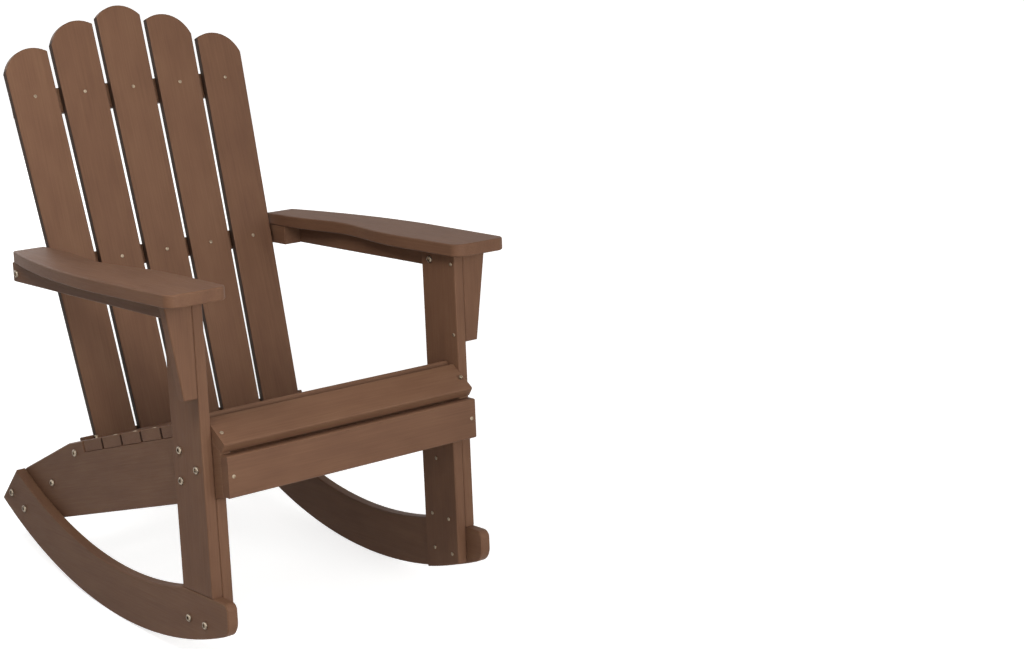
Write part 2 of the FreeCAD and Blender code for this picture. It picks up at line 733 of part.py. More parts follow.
def main():
    """Write one STEP file for each node."""
    os.makedirs("parts", exist_ok=True)
    for name, shape in set_down(build()).items():
        shape.exportStep("parts/%s.step" % name)


main()
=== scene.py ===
"""Dresses the rocking adirondack chair: eased lumber boards, steel fasteners, light and camera.

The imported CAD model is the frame. Each board is remade from its CAD solid with soft
round-overs and given the grain of its own plank; each bolt and screw is modelled once,
copied to the places its CAD solids hold, and joined to one piece per row.
Lengths are in metres, in the frame of the CAD model.
"""

import json
import logging
import math
from dataclasses import dataclass, field
from enum import Enum

import bpy
from mathutils import Matrix, Vector

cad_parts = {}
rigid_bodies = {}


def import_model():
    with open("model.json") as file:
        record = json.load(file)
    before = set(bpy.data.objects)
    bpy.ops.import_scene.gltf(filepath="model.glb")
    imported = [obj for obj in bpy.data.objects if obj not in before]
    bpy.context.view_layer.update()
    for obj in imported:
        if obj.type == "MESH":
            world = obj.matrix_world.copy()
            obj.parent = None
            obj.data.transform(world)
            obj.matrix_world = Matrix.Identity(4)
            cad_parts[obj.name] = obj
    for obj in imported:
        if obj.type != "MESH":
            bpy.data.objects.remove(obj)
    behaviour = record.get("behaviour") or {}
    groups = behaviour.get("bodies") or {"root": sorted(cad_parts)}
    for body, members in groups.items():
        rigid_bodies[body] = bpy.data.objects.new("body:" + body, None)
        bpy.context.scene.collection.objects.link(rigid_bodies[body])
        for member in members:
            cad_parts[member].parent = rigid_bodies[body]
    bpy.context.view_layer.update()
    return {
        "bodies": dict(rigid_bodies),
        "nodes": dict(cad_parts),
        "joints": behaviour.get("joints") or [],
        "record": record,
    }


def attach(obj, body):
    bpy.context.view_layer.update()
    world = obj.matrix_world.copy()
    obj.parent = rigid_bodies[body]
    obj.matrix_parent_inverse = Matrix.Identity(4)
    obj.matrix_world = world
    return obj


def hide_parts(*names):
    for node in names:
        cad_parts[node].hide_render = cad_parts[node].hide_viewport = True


log = logging.getLogger("rocking_adirondack")
MM = 0.001
WHITE = (1.0, 1.0, 1.0, 1.0)
# Points this near are one point, and faces within this angle are one face.
WELD_REACH = 0.01 * MM
FLAT_ANGLE = math.radians(0.5)
# Painted shade on the narrow sides of the slats, for the gaps between them: how much darker those sides are
# than the broad faces.
GAP_PAINTED_SHADE = 0.6
# Steps from one plank to the next, through the grain and round the cycle of shades.
GRAIN_STEP = Vector((0.731, 0.417, 0.293))
SHADE_STEP = 2.399
SHADE_START = 0.7


class Run(Enum):
    """The way the lumber's grain runs along a board."""

    ACROSS = "across the chair"
    ALONG_LEG = "up the legs"
    ALONG_ARM = "from front to back"
    ALONG_SEAT = "down the slope of the seat"
    ALONG_BACK = "up the slope of the back"


@dataclass(frozen=True)
class Tilt:
    """Directions of the chair as it rests on its rockers.

    Attributes:
        lean: how far the side frames roll back from upright, in degrees.
        rake: slope of the seat and recline of the back before that roll, in degrees.
    """

    lean: float = 5.145
    rake: float = 15.0

    def direction(self, run: Run) -> Vector:
        """Unit vector along the grain of a board.

        Args:
            run: the way the board lies in the chair.

        Returns:
            A unit vector in the frame of the CAD model.
        """
        if run is Run.ACROSS:
            return Vector((1.0, 0.0, 0.0))
        degrees = {
            Run.ALONG_LEG: 90.0 - self.lean,
            Run.ALONG_ARM: -self.lean,
            Run.ALONG_SEAT: -self.lean - self.rake,
            Run.ALONG_BACK: 90.0 - self.lean - self.rake,
        }[run]
        angle = math.radians(degrees)
        return Vector((0.0, math.cos(angle), math.sin(angle)))


def srgb(code: str) -> tuple[float, float, float, float]:
    """Turns a colour as it looks on a screen into the linear one that shaders take.

    Args:
        code: six hex digits, such as "6D4F3F".

    Returns:
        Linear red, green and blue, and an alpha of 1.
    """
    channels = [int(code[place:place + 2], 16) / 255.0 for place in (0, 2, 4)]
    linear = [c / 12.92 if c <= 0.04045 else ((c + 0.055) / 1.055) ** 2.4 for c in channels]
    return (*linear, 1.0)


def per_metre(millimetres: float) -> float:
    """Scale of a pattern whose features are this many millimetres apart."""
    return 1.0 / (millimetres * MM)


def add_node(
    tree: bpy.types.NodeTree,
    kind: str,
    settings: dict | None = None,
    sockets: dict | None = None,
    links: dict | None = None,
) -> bpy.types.Node:
    """Adds one node to a material.

    Args:
        tree: the node tree that the node joins.
        kind: Blender's name for the node's type.
        settings: attributes of the node itself.
        sockets: values for input sockets, by name or index.
        links: output sockets to feed into input sockets, by name or index.

    Returns:
        The new node.
    """
    node = tree.nodes.new(kind)
    for name, value in (settings or {}).items():
        setattr(node, name, value)
    for name, value in (sockets or {}).items():
        node.inputs[name].default_value = value
    for name, source in (links or {}).items():
        tree.links.new(source, node.inputs[name])
    return node


def new_material(name: str) -> tuple[bpy.types.Material, bpy.types.NodeTree, bpy.types.Node]:
    """Makes an empty material with a principled shader wired to its output.

    Args:
        name: what the material is called.

    Returns:
        The material, its node tree and the shader.
    """
    material = bpy.data.materials.new(name)
    material.use_nodes = True
    tree = material.node_tree
    tree.nodes.clear()
    shader = add_node(tree, "ShaderNodeBsdfPrincipled")
    add_node(tree, "ShaderNodeOutputMaterial", links={"Surface": shader.outputs["BSDF"]})
    return material, tree, shader


@dataclass(frozen=True)
class Pattern:
    """A noise drawn out along a plank.

    Attributes:
        gap_mm: distance between two of its marks, across the grain.
        length_mm: length of a mark, along the grain.
        detail: how many finer layers it has.
        roughness: share of the finer layers.
    """

    gap_mm: float
    length_mm: float
    detail: float
    roughness: float

    def lay(self, tree: bpy.types.NodeTree) -> bpy.types.NodeSocket:
        """Lays the pattern on the plank coordinates of a board.

        Args:
            tree: the material's node tree.

        Returns:
            The grey value of the pattern.
        """
        plank = add_node(tree, "ShaderNodeAttribute", {"attribute_name": "plank"})
        scale = (per_metre(self.length_mm), per_metre(self.gap_mm), per_metre(self.gap_mm))
        squeezed = add_node(
            tree,
            "ShaderNodeVectorMath",
            {"operation": "MULTIPLY"},
            {1: scale},
            {0: plank.outputs["Vector"]},
        )
        noise = add_node(
            tree,
            "ShaderNodeTexNoise",
            sockets={"Scale": 1.0, "Detail": self.detail, "Roughness": self.roughness},
            links={"Vector": squeezed.outputs["Vector"]},
        )
        return noise.outputs["Fac"]


@dataclass(frozen=True)
class PolyLumber:
    """HDPE lumber coloured through in mocha brown: extruded, planed and brushed.

    The planks come out of the die with fine lengthwise streaks and are brushed to look
    like stained wood, so the surface is satin, with shallow drawn-out scratches and
    slow changes of shade along each plank. Real scratches and grit are too fine to
    show, and are drawn about three times as coarse. The patterns follow the attribute
    "plank", which runs in metres along, across and through each board, and "shade"
    sets each plank a little apart from the next, and paints the narrow sides of the
    slats well below, as painted shade in the gaps between them.

    Attributes:
        name: what the material is called.
        tones: the place of each colour on the scale of shades, with its sRGB value, for
        the painted shade on the slats' narrow sides in the gaps, dark streaks, the
        middle and light streaks.
        streaks: lengthwise streaks of the extrusion.
        clouds: slow changes of shade.
        scratches: marks of the brushing.
        grit: roughness of the plastic between them.
        streak_share: how much the streaks change the shade.
        cloud_share: how much the clouds change the shade.
        scratch_span: grey values of the scratches between which the roughness grows.
        gloss_span: roughness at the one and at the other.
        scratch_depth: depth of the scratches, in metres, and their strength.
        grit_depth: depth of the grit, in metres, and its strength.
        refraction: index of refraction of HDPE.
        specular: specular level of a surface that brushing has dulled.
    """

    name: str = "mocha_hdpe_lumber"
    tones: tuple[tuple[float, str], ...] = (
        # The first stop is painted shade, for the narrow sides of the slats in the gaps.
        (0.0, "35241A"),
        (0.24, "593E2E"),
        (0.50, "634634"),
        (0.78, "6C4F3B"),
    )
    streaks: Pattern = Pattern(gap_mm=2.6, length_mm=140.0, detail=4.0, roughness=0.6)
    clouds: Pattern = Pattern(gap_mm=31.5, length_mm=90.0, detail=2.0, roughness=0.5)
    scratches: Pattern = Pattern(gap_mm=0.9, length_mm=45.0, detail=3.0, roughness=0.7)
    grit: Pattern = Pattern(gap_mm=0.7, length_mm=0.7, detail=2.0, roughness=0.5)
    streak_share: float = 0.5
    cloud_share: float = 0.5
    scratch_span: tuple[float, float] = (0.3, 0.7)
    gloss_span: tuple[float, float] = (0.53, 0.7)
    scratch_depth: tuple[float, float] = (0.25 * MM, 0.35)
    grit_depth: tuple[float, float] = (0.1 * MM, 0.2)
    refraction: float = 1.54
    specular: float = 0.14

    def shades(self, tree: bpy.types.NodeTree) -> bpy.types.NodeSocket:
        """Adds up the plank's own shade, with any painted shade of its narrow sides, the clouds and the
        streaks.

        Args:
            tree: the material's node tree.

        Returns:
            The colour of each point.
        """
        shade = add_node(tree, "ShaderNodeAttribute", {"attribute_name": "shade"})
        total = shade.outputs["Fac"]
        for pattern, share in ((self.clouds, self.cloud_share), (self.streaks, self.streak_share)):
            added = add_node(
                tree,
                "ShaderNodeMath",
                {"operation": "MULTIPLY_ADD"},
                {1: share},
                {0: pattern.lay(tree), 2: total},
            )
            total = added.outputs["Value"]
        ramp = add_node(tree, "ShaderNodeValToRGB", links={"Fac": total})
        stops = ramp.color_ramp.elements
        stops.remove(stops[-1])
        stops[0].position, stops[0].color = self.tones[0][0], srgb(self.tones[0][1])
        for position, code in self.tones[1:]:
            stops.new(position).color = srgb(code)
        return ramp.outputs["Color"]

    def build(self) -> bpy.types.Material:
        """Builds the material.

        Returns:
            The finished material.
        """
        material, tree, shader = new_material(self.name)
        tree.links.new(self.shades(tree), shader.inputs["Base Color"])
        marks = self.scratches.lay(tree)
        gloss = add_node(
            tree,
            "ShaderNodeMapRange",
            sockets={
                "From Min": self.scratch_span[0],
                "From Max": self.scratch_span[1],
                "To Min": self.gloss_span[0],
                "To Max": self.gloss_span[1],
            },
            links={"Value": marks},
        )
        tree.links.new(gloss.outputs["Result"], shader.inputs["Roughness"])
        relief = add_node(
            tree,
            "ShaderNodeBump",
            sockets={"Distance": self.scratch_depth[0], "Strength": self.scratch_depth[1]},
            links={"Height": marks},
        )
        fine = add_node(
            tree,
            "ShaderNodeBump",
            sockets={"Distance": self.grit_depth[0], "Strength": self.grit_depth[1]},
            links={"Height": self.grit.lay(tree), "Normal": relief.outputs["Normal"]},
        )
        tree.links.new(fine.outputs["Normal"], shader.inputs["Normal"])
        shader.inputs["IOR"].default_value = self.refraction
        shader.inputs["Specular IOR Level"].default_value = self.specular
        return material


@dataclass(frozen=True)
class StainlessSteel:
    """Stainless steel fasteners, turned and lightly tumbled.

    The tumbling leaves a soft shine with fine random pits, drawn coarse enough to show,
    and a darker film stays here and there. The pattern reads object coordinates.

    Attributes:
        name: what the material is called.
        colour: sRGB value of the clean steel.
        film: sRGB value of the film on it.
        roughness: roughness of the clean steel.
        smoother: how much smoother than that the smoothest spots are.
        rougher: how much rougher the pits are.
        pit_mm: distance between two pits.
        film_mm: distance between two patches of film.
        film_at: place of the full film on the scale of the patches.
        clean_at: place of the clean steel on it.
        pit_depth: depth of the pits, in metres, and their strength.
    """

    name: str
    colour: str
    film: str
    roughness: float
    smoother: float = 0.08
    rougher: float = 0.1
    pit_mm: float = 0.5
    film_mm: float = 6.0
    film_at: float = 0.32
    clean_at: float = 0.55
    pit_depth: tuple[float, float] = (0.05 * MM, 0.25)

    def build(self) -> bpy.types.Material:
        """Builds the material.

        Returns:
            The finished material.
        """
        material, tree, shader = new_material(self.name)
        where = add_node(tree, "ShaderNodeTexCoord")
        pits = add_node(
            tree,
            "ShaderNodeTexNoise",
            sockets={"Scale": per_metre(self.pit_mm), "Detail": 3.0},
            links={"Vector": where.outputs["Object"]},
        )
        patches = add_node(
            tree,
            "ShaderNodeTexNoise",
            sockets={"Scale": per_metre(self.film_mm), "Detail": 2.0},
            links={"Vector": where.outputs["Object"]},
        )
        ramp = add_node(tree, "ShaderNodeValToRGB", links={"Fac": patches.outputs["Fac"]})
        stops = ramp.color_ramp.elements
        stops[0].position, stops[0].color = self.film_at, srgb(self.film)
        stops[1].position, stops[1].color = self.clean_at, srgb(self.colour)
        tree.links.new(ramp.outputs["Color"], shader.inputs["Base Color"])
        gloss = add_node(
            tree,
            "ShaderNodeMapRange",
            sockets={"To Min": self.roughness - self.smoother, "To Max": self.roughness + self.rougher},
            links={"Value": pits.outputs["Fac"]},
        )
        tree.links.new(gloss.outputs["Result"], shader.inputs["Roughness"])
        relief = add_node(
            tree,
            "ShaderNodeBump",
            sockets={"Distance": self.pit_depth[0], "Strength": self.pit_depth[1]},
            links={"Height": pits.outputs["Fac"]},
        )
        tree.links.new(relief.outputs["Normal"], shader.inputs["Normal"])
        shader.inputs["Metallic"].default_value = 1.0
        return material


@dataclass
class Finishes:
    """The finishes of the chair, each built once.

    Attributes:
        lumber: finish of all the boards.
        bolt_steel: brighter finish of the socket bolts.
        screw_steel: duller finish of the small screws.
        recess_painted_shade: painted shade inside the sockets and cross recesses, as a dark steel.
    """

    lumber: bpy.types.Material = field(default_factory=PolyLumber().build)
    bolt_steel: bpy.types.Material = field(
        default_factory=StainlessSteel(
            "tumbled_bolt_steel", colour="9A8D7C", film="665A4E", roughness=0.42
        ).build
    )
    screw_steel: bpy.types.Material = field(
        default_factory=StainlessSteel(
            "coated_screw_steel", colour="998A76", film="6E5F4F", roughness=0.48
        ).build
    )
    # Painted shade inside the sockets and cross recesses: a dark steel.
    recess_painted_shade: bpy.types.Material = field(
        default_factory=StainlessSteel(
            "painted_shade_in_recesses", colour="4A3A30", film="2E241E", roughness=0.6
        ).build
    )


def deselect() -> None:
    """Leaves edit mode and clears the selection."""
    if bpy.context.object and bpy.context.object.mode != "OBJECT":
        bpy.ops.object.mode_set(mode="OBJECT")
    bpy.ops.object.select_all(action="DESELECT")


def activate(piece: bpy.types.Object) -> None:
    """Makes one object the only one selected, and the active one."""
    deselect()
    piece.select_set(True)
    bpy.context.view_layer.objects.active = piece


def apply_modifiers(piece: bpy.types.Object) -> None:
    """Applies the modifiers of a piece from the top of its stack."""
    activate(piece)
    for modifier in list(piece.modifiers):
        bpy.ops.object.modifier_apply(modifier=modifier.name)


def merged_copy(node: bpy.types.Object, name: str) -> bpy.types.Object:
    """Copies a CAD node and welds its loose triangles into closed faces.

    Args:
        node: the CAD node.
        name: what the copy is called.

    Returns:
        The copy, with its place in its mesh.
    """
    piece = bpy.data.objects.new(name, node.data.copy())
    piece.data.name = name
    bpy.context.scene.collection.objects.link(piece)
    activate(piece)
    bpy.ops.object.mode_set(mode="EDIT")
    bpy.ops.mesh.select_all(action="SELECT")
    bpy.ops.mesh.remove_doubles(threshold=WELD_REACH)
    bpy.ops.mesh.customdata_custom_splitnormals_clear()
    bpy.ops.mesh.dissolve_limited(angle_limit=FLAT_ANGLE)
    bpy.ops.object.mode_set(mode="OBJECT")
    return piece


def dress(piece: bpy.types.Object, materials: list[bpy.types.Material]) -> None:
    """Gives a piece its materials and its place on the body.

    Args:
        piece: the finished piece, its faces numbered by material.
        materials: the materials of its faces, in order.
    """
    piece.data.materials.clear()
    for material in materials:
        piece.data.materials.append(material)
    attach(piece, "root")


@dataclass
class Board:
    """One plank of the chair.

    Attributes:
        node: the CAD node it stands for.
        run: the way its grain runs.
        face: rough normal of its broad face.
        arris: direction in which one arris of the board lies furthest out.
        moved: how far that arris stands from its place in the plain solid, in metres.
        wider: how much further out each long narrow side lies, in metres.
        painted_gap_shade: how much darker the narrow sides are painted, as painted shade in the gaps beside
            them.
        round_over: width of the softening of each arris, in metres.
        round_from: angle from which an edge counts as an arris.
        smooth_below: angle below which the light runs smoothly over an edge.
        arris_reach: depth of the layer of points that moves with the arris, in metres.
        long_side: least area of a long narrow side, in square metres.
        sideways: least share of a face's normal that counts as facing sideways.
        shade_spread: how far the shades of the planks lie apart.
        tilt: directions of the chair.
    """

    node: str
    run: Run
    face: Vector
    arris: Vector = field(default_factory=Vector)
    moved: Vector = field(default_factory=Vector)
    wider: float = 0.0
    painted_gap_shade: float = 0.0
    round_over: float = 0.9 * MM
    round_from: float = math.radians(28.0)
    smooth_below: float = math.radians(40.0)
    arris_reach: float = 4.0 * MM
    long_side: float = 0.001
    sideways: float = 0.9
    shade_spread: float = 0.045
    tilt: Tilt = field(default_factory=Tilt)

    def axes(self) -> Matrix:
        """Rows along, across and through the board."""
        along = self.tilt.direction(self.run)
        through = (self.face - along * self.face.dot(along)).normalized()
        return Matrix((along, through.cross(along), through))

    def side_faces(self, piece: bpy.types.Object, least_area: float = 0.0) -> list[bpy.types.MeshPolygon]:
        """Finds the faces of the narrow sides.

        Args:
            piece: the board's mesh object.
            least_area: area that a face has to pass, in square metres.

        Returns:
            The faces that look across the board.
        """
        across = self.axes()[1]
        faces = [face for face in piece.data.polygons if face.area > least_area]
        return [face for face in faces if abs(face.normal.dot(across)) > self.sideways]

    def build(self, frame: dict, finishes: Finishes, order: int) -> bpy.types.Object:
        """Remakes the board with soft edges and its own grain.

        Args:
            finishes: the finishes of the chair.
            order: number of the board, which picks its stretch of grain.

        Returns:
            The finished piece.
        """
        piece = merged_copy(frame["nodes"][self.node], self.node + "_plank")
        self.shape_arris(piece)
        self.widen(piece)
        self.soften(piece)
        self.lay_grain(piece, order)
        for face in piece.data.polygons:
            face.material_index = 0
        dress(piece, [finishes.lumber])
        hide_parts(self.node)
        return piece

    def shape_arris(self, piece: bpy.types.Object) -> None:
        """Sets the arris that differs from the plain solid to its height.

        Args:
            piece: the board's mesh object, before its round-overs.
        """
        if self.moved.length == 0.0:
            return
        levels = [self.arris.dot(vertex.co) for vertex in piece.data.vertices]
        for vertex, level in zip(piece.data.vertices, levels):
            if level > max(levels) - self.arris_reach:
                vertex.co += self.moved

    def widen(self, piece: bpy.types.Object) -> None:
        """Sets both long narrow sides further out, so that the gaps beside them are fine.

        Args:
            piece: the board's mesh object, before its round-overs.
        """
        if self.wider == 0.0:
            return
        moves = {}
        for face in self.side_faces(piece, self.long_side):
            for index in face.vertices:
                moves[index] = face.normal * self.wider
        for index, move in moves.items():
            piece.data.vertices[index].co += move

    def soften(self, piece: bpy.types.Object) -> None:
        """Rounds the arrises over and keeps the broad faces flat to the light.

        Args:
            piece: the board's mesh object.
        """
        bevel = piece.modifiers.new("round_over", "BEVEL")
        bevel.width = self.round_over
        bevel.segments = 2
        bevel.limit_method = "ANGLE"
        bevel.angle_limit = self.round_from
        bevel.use_clamp_overlap = True
        bevel.miter_outer = "MITER_SHARP"
        apply_modifiers(piece)
        bpy.ops.object.shade_smooth_by_angle(angle=self.smooth_below)
        flat = piece.modifiers.new("flat_faces", "WEIGHTED_NORMAL")
        flat.mode = "FACE_AREA"
        flat.weight = 90
        flat.keep_sharp = True
        apply_modifiers(piece)

    def lay_grain(self, piece: bpy.types.Object, order: int) -> None:
        """Writes where each point lies in the plank, the plank's own shade and any painted shade on its
        narrow sides.

        The stretch of grain and the shade follow from the board's number, so that each
        plank differs from the next and every run of the script gives the same chair.

        Args:
            piece: the board's mesh object.
            order: number of the board.
        """
        axes = self.axes()
        offset = order * GRAIN_STEP
        level = self.shade_spread * math.sin(order * SHADE_STEP + SHADE_START)
        points = [vertex.co.copy() for vertex in piece.data.vertices]
        sides = {index for face in self.side_faces(piece) for index in face.vertices}
        plank = piece.data.attributes.new("plank", "FLOAT_VECTOR", "POINT")
        for place, point in enumerate(points):
            plank.data[place].vector = axes @ point + offset
        shade = piece.data.attributes.new("shade", "FLOAT", "POINT")
        for place in range(len(points)):
            # The narrow sides of the slats are painted darker, as painted shade in the gaps between them.
            shade.data[place].value = level - (self.painted_gap_shade if place in sides else 0.0)


@dataclass
class SideFrames:
    """Rockers, legs, stringers, arm brackets, arm rails, cleats and arms of both sides.

    Attributes:
        sides: the two sides of the chair, as the nodes' names give them.
    """

    sides: tuple[str, str] = ("left", "right")

    def boards(self) -> list[Board]:
        """The boards of both side frames."""
        outward = Vector((1.0, 0.0, 0.0))
        upward = Vector((0.0, 0.1, 1.0))
        forward = Vector((0.0, -1.0, 0.1))
        layout = [
            ("rocker", Run.ALONG_ARM, outward),
            ("outer_leg", Run.ALONG_LEG, outward),
            ("inner_leg", Run.ALONG_LEG, outward),
            ("seat_stringer", Run.ALONG_SEAT, outward),
            ("arm_bracket", Run.ALONG_LEG, forward),
            ("arm_rail", Run.ALONG_ARM, outward),
            ("cleat_block", Run.ALONG_ARM, outward),
            ("armrest", Run.ALONG_ARM, upward),
        ]
        return [Board(f"{kind}_{side}", run, face) for side in self.sides for kind, run, face in layout]


@dataclass
class Seat:
    """Sloping front slat, six flat slats and the front apron.

    The seat is a little cupped, so the first flat slat tips up to the front and its
    front edge stands proud of the sloping slat's crest.

    Attributes:
        flat_slats: how many flat slats there are.
        crest_drop: how far the sloping slat's crest lies from its plain place, in metres.
        tip_rise: how far the first flat slat's front edge lies from its plain place.
    """

    flat_slats: int = 6
    crest_drop: Vector = field(default_factory=lambda: Vector((0.0, -1.75, -0.97)) * MM)
    tip_rise: Vector = field(default_factory=lambda: Vector((0.0, 3.1, 8.5)) * MM)

    def boards(self) -> list[Board]:
        """The boards of the seat."""
        upward = Vector((0.0, 0.4, 1.0))
        slats = [Board(f"seat_slat_{2 + place}", Run.ACROSS, upward) for place in range(self.flat_slats)]
        slats[0].arris, slats[0].moved = Vector((0.0, -1.0, 1.0)), self.tip_rise
        # The flat slats behind the first get painted shade on their narrow sides, in the gaps between them.
        for slat in slats[1:]:
            slat.painted_gap_shade = GAP_PAINTED_SHADE
        front = Board("front_seat_slat", Run.ACROSS, Vector((0.0, -0.4, 1.0)))
        front.arris, front.moved = Vector((0.0, 0.2, 1.0)), self.crest_drop
        apron = Board("front_apron", Run.ACROSS, Vector((0.0, -1.0, 0.1)))
        return [front, *slats, apron]


@dataclass
class Back:
    """Five fanned slats, their three rails and the stretcher below.

    Attributes:
        slats: how many slats there are.
        wider: how much further out each slat's narrow sides lie than in the plain solid.
        rails: the nodes of the boards that lie across.
    """

    slats: int = 5
    wider: float = 0.35 * MM
    rails: tuple[str, ...] = ("top_back_rail", "mid_back_rail", "lower_back_rail", "rear_stretcher")

    def boards(self) -> list[Board]:
        """The boards of the back."""
        forward = Vector((0.0, -1.0, 0.4))
        slats = [Board(f"back_slat_{1 + place}", Run.ALONG_BACK, forward) for place in range(self.slats)]
        # Each slat gets painted shade on its narrow sides, in the gaps between the slats.
        for slat in slats:
            slat.wider, slat.painted_gap_shade = self.wider, GAP_PAINTED_SHADE
        return [*slats, *(Board(name, Run.ACROSS, forward) for name in self.rails)]


class Head(Enum):
    """The two kinds of fastener."""

    SOCKET_BOLT = "bolt with a hexagon socket"
    WOOD_SCREW = "small screw with a cross recess"


@dataclass
class Fastener:
    """One fastener, modelled along +Z with the seat of its head at the origin.

    Attributes:
        head: which kind it is.
        radius: radius of the head, in metres.
        height: height of the head above its seat.
        shank: radius of the shank.
        length: length of the shank.
        recess: width of the socket across its flats, or of the cross.
        depth: depth of the recess.
        segments: number of flat faces round the head.
        dome: share of the head's height that its rim is rounded over.
        tip: share of the shank's length that narrows to the point.
        point: width of the point, as a share of the shank.
        blade: width of one arm of the cross, as a share of its length.
        cutter_over: how far the recess's cutter stands over the head.
        sunk_within: how far from the axis the recess's faces lie, as a share of its width.
        sunk_below: how far below the head's top the middle of such a face lies.
    """

    head: Head
    radius: float
    height: float
    shank: float
    length: float
    recess: float
    depth: float
    segments: int = 32
    dome: float = 0.55
    tip: float = 0.1
    point: float = 0.4
    blade: float = 0.28
    cutter_over: float = 1.0 * MM
    sunk_within: float = 0.6
    sunk_below: float = 0.05 * MM

    def build(self, name: str) -> bpy.types.Object:
        """Models the fastener.

        Args:
            name: what the object is called.

        Returns:
            The model, still at the origin.
        """
        deselect()
        bpy.ops.mesh.primitive_cylinder_add(
            vertices=self.segments, radius=self.radius, depth=self.height, location=(0, 0, self.height / 2)
        )
        piece = bpy.context.object
        piece.name = piece.data.name = name
        bpy.ops.object.transform_apply(location=True, rotation=False, scale=False)
        self.round_rim(piece)
        self.add_shank(piece)
        for cutter in self.cutters():
            self.cut(piece, cutter)
        self.number_sunk_faces(piece)
        return piece

    def pick_faces(self, piece: bpy.types.Object, height: float) -> None:
        """Selects the faces that lie flat at a height, in edit mode.

        Args:
            piece: the fastener.
            height: level of the faces above the seat of the head, in metres.
        """
        bpy.ops.object.mode_set(mode="OBJECT")
        for face in piece.data.polygons:
            face.select = abs(face.center.z - height) < WELD_REACH and abs(face.normal.z) > 0.99
        for edge in piece.data.edges:
            edge.select = False
        picked = {index for face in piece.data.polygons if face.select for index in face.vertices}
        for vertex in piece.data.vertices:
            vertex.select = vertex.index in picked
        bpy.ops.object.mode_set(mode="EDIT")

    def round_rim(self, piece: bpy.types.Object) -> None:
        """Domes the head with a bevelled rim.

        Args:
            piece: the plain disc of the head.
        """
        activate(piece)
        bpy.ops.object.mode_set(mode="EDIT")
        bpy.ops.mesh.select_mode(type="FACE")
        self.pick_faces(piece, self.height)
        bpy.ops.mesh.bevel(offset=self.height * self.dome, segments=3, profile=0.5, affect="EDGES")
        bpy.ops.object.mode_set(mode="OBJECT")

    def add_shank(self, piece: bpy.types.Object) -> None:
        """Draws the shank down from the underside of the head, to a short point.

        Args:
            piece: the head.
        """
        activate(piece)
        bpy.ops.object.mode_set(mode="EDIT")
        bpy.ops.mesh.select_mode(type="FACE")
        self.pick_faces(piece, 0.0)
        bpy.ops.mesh.inset(thickness=self.radius - self.shank)
        for share in (1.0 - self.tip, self.tip):
            down = (0.0, 0.0, -self.length * share)
            bpy.ops.mesh.extrude_region_move(TRANSFORM_OT_translate={"value": down})
        end = (0.0, 0.0, -self.length)
        bpy.ops.transform.resize(value=(self.point, self.point, 1.0), center_override=end)
        bpy.ops.object.mode_set(mode="OBJECT")

    def cutters(self) -> list[bpy.types.Object]:
        """Makes what cuts the hexagon socket or the cross recess.

        Returns:
            One hexagonal rod, or the two arms of the cross.
        """
        bottom = self.height - self.depth
        top = self.height + self.cutter_over
        place = (0.0, 0.0, (top + bottom) / 2)
        cutters = []
        deselect()
        if self.head is Head.SOCKET_BOLT:
            corner = self.recess / math.sqrt(3.0)
            bpy.ops.mesh.primitive_cylinder_add(
                vertices=6, radius=corner, depth=top - bottom, location=place
            )
            cutters.append(bpy.context.object)
        else:
            for turn in (0.0, math.pi / 2.0):
                bpy.ops.mesh.primitive_cube_add(size=1.0, location=place, rotation=(0.0, 0.0, turn))
                bpy.context.object.scale = (self.recess, self.recess * self.blade, top - bottom)
                cutters.append(bpy.context.object)
        return cutters

    def cut(self, piece: bpy.types.Object, cutter: bpy.types.Object) -> None:
        """Cuts one shape out of the head and removes the cutter.

        Args:
            piece: the fastener.
            cutter: what is taken out of it.
        """
        activate(cutter)
        bpy.ops.object.transform_apply(location=True, rotation=True, scale=True)
        recess = piece.modifiers.new("recess", "BOOLEAN")
        recess.operation = "DIFFERENCE"
        recess.object = cutter
        apply_modifiers(piece)
        bpy.data.objects.remove(cutter)

    def number_sunk_faces(self, piece: bpy.types.Object) -> None:
        """Gives the walls and the bottom of the recess the second material, its painted shade.

        Args:
            piece: the fastener.
        """
        reach = self.recess * self.sunk_within
        top = self.height - self.sunk_below
        for face in piece.data.polygons:
            place = face.center
            sunk = 0.0 < place.z < top and math.hypot(place.x, place.y) < reach
            face.material_index = 1 if sunk else 0


